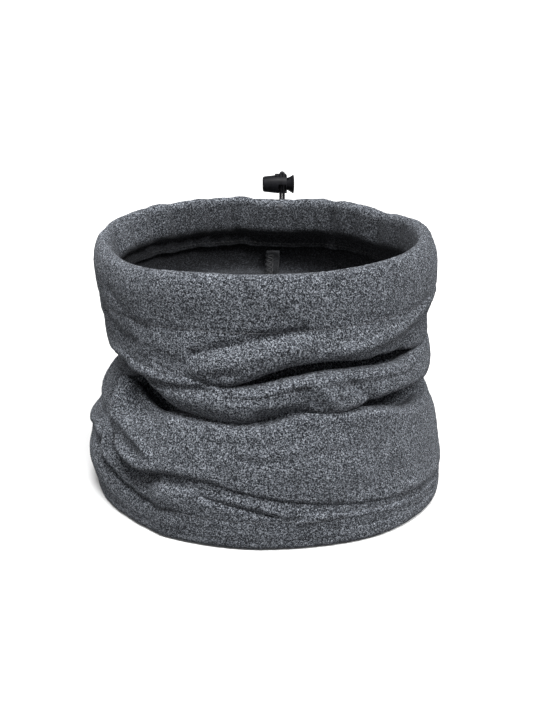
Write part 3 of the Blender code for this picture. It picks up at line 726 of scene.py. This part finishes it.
def ring_path():
    """The drawcord through the channel under the crest, dipping at the back to meet both legs."""
    # Distance along the rim from the legs, and height against 1.5 mm over CHANNEL_Z.
    dip = (
        (0.0420, -0.0015), (0.0330, -0.0034), (0.0260, -0.0072), (0.0190, -0.0122), (0.0130, -0.0160),
        (0.0080, -0.0178), (0.0045, -0.0182), (0.0026, -0.0177), (0.0014, -0.0167), (0.0010, -0.0155),
        (0.00095, -0.0143),
    )
    radius = RIM_A - CHANNEL_IN

    def point(degrees, z, out):
        turn = math.radians(degrees)
        return ((RIM_A + out) * math.cos(turn), (RIM_B + out) * math.sin(turn), z)

    def free(away, below, side):
        return point(CORD_ANGLE + side * math.degrees(away / radius), CHANNEL_Z + 0.0015 + below, -CHANNEL_IN)

    wide = math.degrees(0.0500 / radius)
    turns = np.linspace(CORD_ANGLE + wide, CORD_ANGLE + 360 - wide, 160)
    tops = ring_curve(CREST, (turns + 180) % 360 - 180)[:, 0] * MM
    ease = np.minimum(1, np.minimum(turns - turns[0], turns[-1] - turns) / 20)
    middle_run = [
        point(t, min(CHANNEL_Z, top - 0.0046), -CHANNEL_IN - 0.0012 * e)
        for t, top, e in zip(turns, tops, ease)
    ]
    return [free(a, z, 1) for a, z in reversed(dip)] + middle_run + [free(a, z, -1) for a, z in dip]


channel_cord = braided("drawcord_in_channel", ring_path(), CORD_RADIUS, sides=10, step=0.0005)
channel_cord.data.materials.append(cord_look)
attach(channel_cord, "gaiter")
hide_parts("drawcord_ring")

# ---------------------------------------------------------------- stitching

STITCH_PITCH, STITCH_SHARE = 0.0031, 0.82
THREAD_RADIUS = 0.00022


def row_at(column, height, branch):
    """The grid row of this column where the cloth passes a height: on its band, its outside or its hem."""
    z = out_z[column, :, 1]
    if branch == "band":
        return int(np.nonzero(z[: crest_row[column]] < height)[0][-1])
    if branch == "wall":
        return int(crest_row[column] + np.nonzero(z[crest_row[column] :] < height)[0][0])
    return int(foot_row[column] + np.nonzero(z[foot_row[column] :] > height)[0][0])


def seam_ring(height, branch):
    """Points and normals round the cloth at the heights that height(angle) gives, on that branch."""
    picked = np.arange(COLUMNS)
    rows = np.array([row_at(column, height(angles[column]), branch) for column in picked])
    return outer[picked, rows], normal[picked, rows]


def bead_chain(name, ends, lift, radius):
    """Short threads lying on the cloth: each a spindle from one point to the next, sunk at its ends."""
    verts, faces = [], []
    sides = 6
    turn = np.arange(sides) * 2 * math.pi / sides
    for start, end, out in ends:
        start, end, out = np.array(start), np.array(end), np.array(out)
        along = end - start
        length = np.linalg.norm(along)
        if length < 1e-6:
            continue
        along = along / length
        side = np.cross(along, out)
        side /= np.linalg.norm(side)
        up = np.cross(side, along)
        base = len(verts)
        verts.append(start - up * lift * 0.8)
        for part, wide, high in ((0.10, 0.75, 0.1), (0.32, 1.0, 0.8), (0.68, 1.0, 0.8), (0.90, 0.75, 0.1)):
            at = start + along * length * part + up * lift * high
            for t in turn:
                verts.append(at + radius * wide * (math.cos(t) * side + math.sin(t) * up))
        verts.append(end - up * lift * 0.8)
        last = len(verts) - 1
        for k in range(sides):
            n = (k + 1) % sides
            faces.append((base, base + 1 + n, base + 1 + k, base))
            for ring in range(3):
                p = base + 1 + ring * sides
                faces.append((p + k, p + n, p + sides + n, p + sides + k))
            p = base + 1 + 3 * sides
            faces.append((last, p + k, p + n, last))
    mesh = bpy.data.meshes.new(name)
    mesh.from_pydata([tuple(v) for v in verts], [], [tuple(dict.fromkeys(f)) for f in faces])
    mesh.update()
    for polygon in mesh.polygons:
        polygon.use_smooth = True
    return link(bpy.data.objects.new(name, mesh))


def run_of_stitches(points, normals, pitch, share):
    """Start, end and normal of each stitch along a closed run of points."""
    closed = np.concatenate([points, points[:1]])
    run = np.concatenate([[0], np.cumsum(np.linalg.norm(np.diff(closed, axis=0), axis=1))])
    count = int(run[-1] / pitch)
    starts = np.arange(count) * run[-1] / count
    outs = np.concatenate([normals, normals[:1]])

    def at(s, table):
        return np.stack([np.interp(s, run, table[:, k]) for k in range(3)], -1)

    length = run[-1] / count * share
    return zip(at(starts, closed), at(starts + length, closed), at(starts + length / 2, outs))


# A tone below 1 paints the thread darker, as shade.
def thread_material(name, tone):
    mat, tree, shader = material(name, (0.03, 0.031, 0.036), 0.6)
    ply = noise_in(tree, Scale=3600.0, Detail=2.0, Roughness=0.6)
    drive(tree, shader, "Base Color", ply, (
        (0.35, (0.016 * tone, 0.017 * tone, 0.020 * tone)),
        (0.65, (0.065 * tone, 0.068 * tone, 0.077 * tone)),
    ))
    add_bump(tree, shader, ply, 0.4, 0.0001)
    return mat


thread_look = thread_material("thread_polyester", 1.0)
# A copy of the thread painted darker, times 0.3, as shade: for the stitches on the band's inside and the
# overlock inside the tube.
shaded_thread = thread_material("thread_in_painted_shade", 0.3)


def finish_thread(obj, replaced, look=thread_look):
    obj.data.materials.append(look)
    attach(obj, "gaiter")
    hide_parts(replaced)


crest_at = dict(zip(angles, ring_curve(CREST, angles)[:, 0]))
for name, height, branch, replaced in (
    ("casing_stitches_outside", lambda a: crest_at[a] - CASING_STITCH, "wall", "casing_stitch_outer"),
    ("casing_stitches_inside", lambda a: crest_at[a] - CASING_STITCH - 0.4, "band", "casing_stitch_inner"),
    ("hem_stitches_outside", lambda a: HEM_STITCH, "wall", "hem_stitch_outer"),
    ("hem_stitches_inside", lambda a: HEM_STITCH, "hem", "hem_stitch_inner"),
):
    ring_points, ring_normals = seam_ring(height, branch)
    run = run_of_stitches(ring_points, ring_normals, STITCH_PITCH, STITCH_SHARE)
    stitches = bead_chain(name, run, 0.00012, THREAD_RADIUS)
    finish_thread(stitches, replaced, shaded_thread if branch == "band" else thread_look)


def on_crest(x, out):
    """A point and normal of the crest at this x, near the cord, where the stand-off passes out (mm)."""
    column = int(np.argmin(np.abs(angles - math.degrees(math.acos(x / (RIM_A - CHANNEL_IN))))))
    low = max(crest_row[column] - 40, 0)
    band = out_z[column, low : crest_row[column] + 40, 0]
    row = low + int(np.argmin(np.abs(band - out)))
    point = outer[column, row].copy()
    point[0] = x
    return point, normal[column, row]


TACK_HALF = 0.0027
TACK_PITCH = 0.00032
for name, out, replaced in (
    ("bar_tack_outside", -1.4, "bar_tack_outer"),
    ("bar_tack_inside", -8.4, "bar_tack_inner"),
):
    marks = []
    for x in np.arange(CORD_X - TACK_HALF, CORD_X + TACK_HALF, TACK_PITCH):
        near, near_normal = on_crest(x, out - 0.55)
        far, far_normal = on_crest(x, out + 0.55)
        marks.append((near, far, near_normal + far_normal))
    finish_thread(bead_chain(name, marks, 0.00035, THREAD_RADIUS), replaced)

# ---------------------------------------------------------------- back seam

# The seam allowance: its angles in degrees, and its heights in metres.
SEAM_FROM, SEAM_TO = 84.0, 89.2
SEAM_LOW, SEAM_TOP = 0.0235, 0.1160


def inner_reach(degrees, z):
    """How far inside the rim's oval the cloth's inner face reaches near this height, in mm."""
    column = int(np.argmin(np.abs(angles - degrees)))
    rows = np.arange(crest_row[column], foot_row[column])
    near = rows[np.abs(out_z[column, rows, 1] - z) < 4.0]
    return float(np.min(out_z[column, near, 0]) - PLY / 2 / MM)


def seam_fin():
    """The sewn edges of the two plies, lying against the inside of the tube, with its heights and reach."""
    heights = np.arange(SEAM_LOW / MM, SEAM_TOP / MM, 0.8)
    reach = np.array([min(inner_reach(SEAM_FROM, z), inner_reach(SEAM_TO, z)) for z in heights])
    reach = np.convolve(np.pad(reach, 6, "edge"), np.ones(13) / 13, "valid") - 0.9
    across = [(SEAM_FROM, 0.4), (SEAM_FROM, 2.2), (SEAM_FROM, 4.2)]
    across += [(SEAM_FROM + (SEAM_TO - SEAM_FROM) * t, 4.6) for t in np.linspace(0.08, 0.9, 12)]
    across += [(SEAM_TO, 4.1), (SEAM_TO + 0.1, 3.4), (SEAM_TO - 0.25, 2.3)]
    across += [(SEAM_TO + 0.1, 1.2), (SEAM_TO, 0.5)]
    across += [(SEAM_FROM + (SEAM_TO - SEAM_FROM) * t, 0.2) for t in np.linspace(0.9, 0.08, 8)]
    verts = []
    for z, out in zip(heights, reach):
        for degrees, thick in across:
            turn = math.radians(degrees)
            lump = 0.3 * noise.noise(Vector((degrees * 0.9, z * 0.35, thick)))
            away = (out - thick * (1 + 0.1 * lump) - lump) * MM
            verts.append(((RIM_A + away) * math.cos(turn), (RIM_B + away) * math.sin(turn), z * MM))
    quads = tube_quads(len(heights), len(across))
    obj = close_and_turn_out(mesh_object("back_seam_fin", verts, quads))
    # The whole fin gets painted shade, as it lies in the shade inside the tube.
    set_painted_shade(obj, np.ones(len(obj.data.vertices), np.float32))
    return obj, heights, reach


fin, fin_heights, fin_reach = seam_fin()
# The fin's fleece is painted near black, 0.045 times its colour, as shade.
fin.data.materials.append(fleece_material("fleece_in_painted_shade", 0.045))
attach(fin, "gaiter")
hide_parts("back_seam_allowance")


def overlock():
    """Overlock thread: needle line, loops round the free edge and slanting loops on its face."""
    marks = []

    def at(degrees, z, thick):
        out = np.interp(z, fin_heights, fin_reach) - thick
        turn = math.radians(degrees)
        return np.array(((RIM_A + out * MM) * math.cos(turn), (RIM_B + out * MM) * math.sin(turn), z * MM))

    facing = math.radians(87)
    out = np.array((-math.cos(facing), -math.sin(facing), 0.0))
    edge = np.array((-math.sin(facing), math.cos(facing), 0.0))
    for z in np.arange(SEAM_LOW / MM + 1.5, SEAM_TOP / MM - 3.2, 2.4):
        marks.append((at(SEAM_TO - 2.7, z, 4.75), at(SEAM_TO - 2.7, z + 2.1, 4.75), out))
        marks.append((at(SEAM_TO - 2.7, z, 4.75), at(SEAM_TO + 0.1, z + 0.9, 4.5), out))
        marks.append((at(SEAM_TO + 0.1, z + 0.9, 4.5), at(SEAM_TO - 2.7, z + 2.4, 4.75), out))
        marks.append((at(SEAM_TO + 0.25, z + 0.9, 4.5), at(SEAM_TO + 0.2, z + 1.3, 0.7), edge))
    return bead_chain("seam_overlock_loops", marks, 0.0001, 0.00026)


finish_thread(overlock(), "seam_overlock_thread", shaded_thread)

# ---------------------------------------------------------------- cord lock


def turned_x(name, profile, sides=64):
    """A solid turned about the lock's axis, from (radius, x) in millimetres along its section."""
    verts, loops = [], []
    for r, x in profile:
        if r <= 0:
            loops.append([len(verts)])
            verts.append((CORD_X + x * MM, LOCK_Y, LOCK_Z))
            continue
        loops.append(list(range(len(verts), len(verts) + sides)))
        for k in range(sides):
            t = 2 * math.pi * k / sides
            verts.append((CORD_X + x * MM, LOCK_Y + r * MM * math.cos(t), LOCK_Z + r * MM * math.sin(t)))
    faces = []
    for one, two in zip(loops[:-1], loops[1:]):
        for k in range(sides):
            n = (k + 1) % sides
            if len(one) == 1 and len(two) > 1:
                faces.append((one[0], two[n], two[k]))
            elif len(two) == 1 and len(one) > 1:
                faces.append((one[k], one[n], two[0]))
            elif len(one) > 1:
                faces.append((one[k], one[n], two[n], two[k]))
    mesh = bpy.data.meshes.new(name)
    mesh.from_pydata(verts, [], faces)
    return close_and_turn_out(link(bpy.data.objects.new(name, mesh)))


def block(low, high, bevel=0.0):
    """A box in the lock's own axes, in millimetres from the cord and the barrel's axis."""
    centre = Vector((CORD_X, LOCK_Y, LOCK_Z))
    mesh = bpy.data.meshes.new("cutter")
    shape = bmesh.new()
    bmesh.ops.create_cube(shape, size=1.0)
    low, high = Vector(low) * MM, Vector(high) * MM
    bmesh.ops.scale(shape, vec=high - low, verts=shape.verts)
    bmesh.ops.translate(shape, vec=(high + low) / 2 + centre, verts=shape.verts)
    if bevel:
        width = bevel * MM
        bmesh.ops.bevel(shape, geom=shape.edges, offset=width, segments=3, profile=0.5, affect="EDGES")
    shape.to_mesh(mesh)
    shape.free()
    return link(bpy.data.objects.new("cutter", mesh))


def boolean(obj, steps):
    """The object after these (operation, other) Booleans, with rounded edges, and the others removed."""
    for operation, other in steps:
        step = obj.modifiers.new("step", "BOOLEAN")
        step.operation, step.solver, step.object = operation, "EXACT", other
    ease = obj.modifiers.new("ease", "BEVEL")
    ease.width, ease.segments, ease.limit_method, ease.angle_limit = 0.00012, 2, "ANGLE", math.radians(35)
    graph = bpy.context.evaluated_depsgraph_get()
    made = bpy.data.meshes.new_from_object(obj.evaluated_get(graph))
    obj.modifiers.clear()
    obj.data = made
    for _, other in steps:
        bpy.data.objects.remove(other)
    for polygon in made.polygons:
        polygon.use_smooth = True
    made.set_sharp_from_angle(angle=math.radians(32))
    return obj


def plastic_material():
    mat, tree, shader = material("moulded_plastic", (0.011, 0.011, 0.012), 0.45)
    grain = noise_in(tree, Scale=2600.0, Detail=3.0, Roughness=0.6)
    wear = noise_in(tree, Scale=420.0, Detail=3.0, Roughness=0.6)
    drive(tree, shader, "Base Color", wear, ((0.35, (0.005, 0.005, 0.006)), (0.7, (0.010, 0.010, 0.012))))
    drive(tree, shader, "Roughness", wear, ((0.3, (0.36,)), (0.7, (0.54,))))
    add_bump(tree, shader, grain, 0.3, 0.00006)
    shader.inputs["Specular IOR Level"].default_value = 0.08
    return mat


plastic = plastic_material()
barrel = turned_x("cord_lock_body", (
    (0, -10.4), (3.2, -10.4), (3.2, -6.0), (4.1, -6.0), (4.1, 0.1), (4.5, 1.1), (5.1, 2.5), (5.25, 3.0),
    (5.62, 3.0), (5.8, 2.75), (5.82, 1.0), (5.8, -2.2), (4.86, -11.0), (4.70, -11.6), (4.36, -12.0),
    (3.8, -12.25), (2.6, -12.34), (0, -12.36),
))
barrel = boolean(barrel, (
    ("UNION", block((-4.6, -2.5, 4.6), (2.7, 2.5, 6.25), 0.45)),
    ("DIFFERENCE", block((-2.05, -2.8, -8.0), (2.05, 0.4, 8.0))),
    ("DIFFERENCE", block((-2.35, -9.0, -9.0), (2.35, -0.2, 0.8), 0.3)),
))
plunger = turned_x("cord_lock_button", (
    (0, -3.4), (3.5, -3.4), (3.8, -3.1), (3.8, 2.4), (3.95, 3.0), (4.15, 3.7), (4.42, 4.4), (4.76, 5.1),
    (5.15, 5.8), (5.5, 6.3), (5.78, 6.55), (5.86, 6.8), (5.72, 7.1), (5.2, 7.36), (4.2, 7.56), (2.4, 7.72),
    (0, 7.78),
))
plunger = boolean(plunger, (
    ("DIFFERENCE", block((-2.05, -2.75, -7.0), (4.15, 0.5, 7.0))),
    ("DIFFERENCE", block((-2.05, -7.0, -7.0), (2.6, -2.6, 7.0))),
))
for piece, body, replaced in (
    (barrel, "cord_lock", "cord_lock_barrel"),
    (plunger, "lock_plunger", "cord_lock_plunger"),
):
    piece.data.materials.clear()
    piece.data.materials.append(plastic)
    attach(piece, body)
    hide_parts(replaced)


def steel_material():
    mat, tree, shader = material("spring_wire", (0.45, 0.45, 0.46), 0.3)
    drawn = noise_in(tree, Scale=3000.0, Detail=2.0, Roughness=0.6)
    drive(tree, shader, "Roughness", drawn, ((0.3, (0.22,)), (0.7, (0.42,))))
    shader.inputs["Metallic"].default_value = 1.0
    return mat


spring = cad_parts["cord_lock_spring"]
spring.data.materials.clear()
spring.data.materials.append(steel_material())

# ---------------------------------------------------------------- floor and light


FLOOR_REACH = 9.0
FLOOR_Z = -0.0004


def make_floor():
    corners = ((-1, -1), (1, -1), (1, 1), (-1, 1))
    verts = [(x * FLOOR_REACH, y * FLOOR_REACH, FLOOR_Z) for x, y in corners]
    floor = mesh_object("floor", verts, [(0, 1, 2, 3)], smooth=False)
    look, tree, shader = material("floor_paper", (0.62, 0.62, 0.62), 0.9)
    fibre = noise_in(tree, Scale=900.0, Detail=2.0)
    drive(tree, shader, "Base Color", fibre, ((0.3, (0.61,)), (0.7, (0.63,))))
    floor.data.materials.append(look)
    floor.visible_diffuse = False


def add_sun(name, azimuth, elevation, strength, spread):
    """A soft distant lamp: degrees round from the camera's side to the right, degrees up, strength, width."""
    data = bpy.data.lights.new(name, "SUN")
    data.energy = strength
    data.angle = math.radians(spread)
    light = link(bpy.data.objects.new(name, data))
    a, e = math.radians(azimuth), math.radians(elevation)
    towards = Vector((math.sin(a) * math.cos(e), -math.cos(a) * math.cos(e), math.sin(e)))
    light.location = towards * 1.5
    light.rotation_euler = towards.to_track_quat("Z", "Y").to_euler()


make_floor()
world = bpy.data.worlds.new("studio")
bpy.context.scene.world = world
world.use_nodes = True
world.node_tree.nodes["Background"].inputs["Color"].default_value = (1, 1, 1, 1)
world.node_tree.nodes["Background"].inputs["Strength"].default_value = 0.28
add_sun("key", 50, 48, 3.0, 18)
add_sun("top", 4, 71, 5.2, 26)
add_sun("fill", -30, 30, 0.35, 50)
bpy.context.scene.view_settings.view_transform = "Standard"
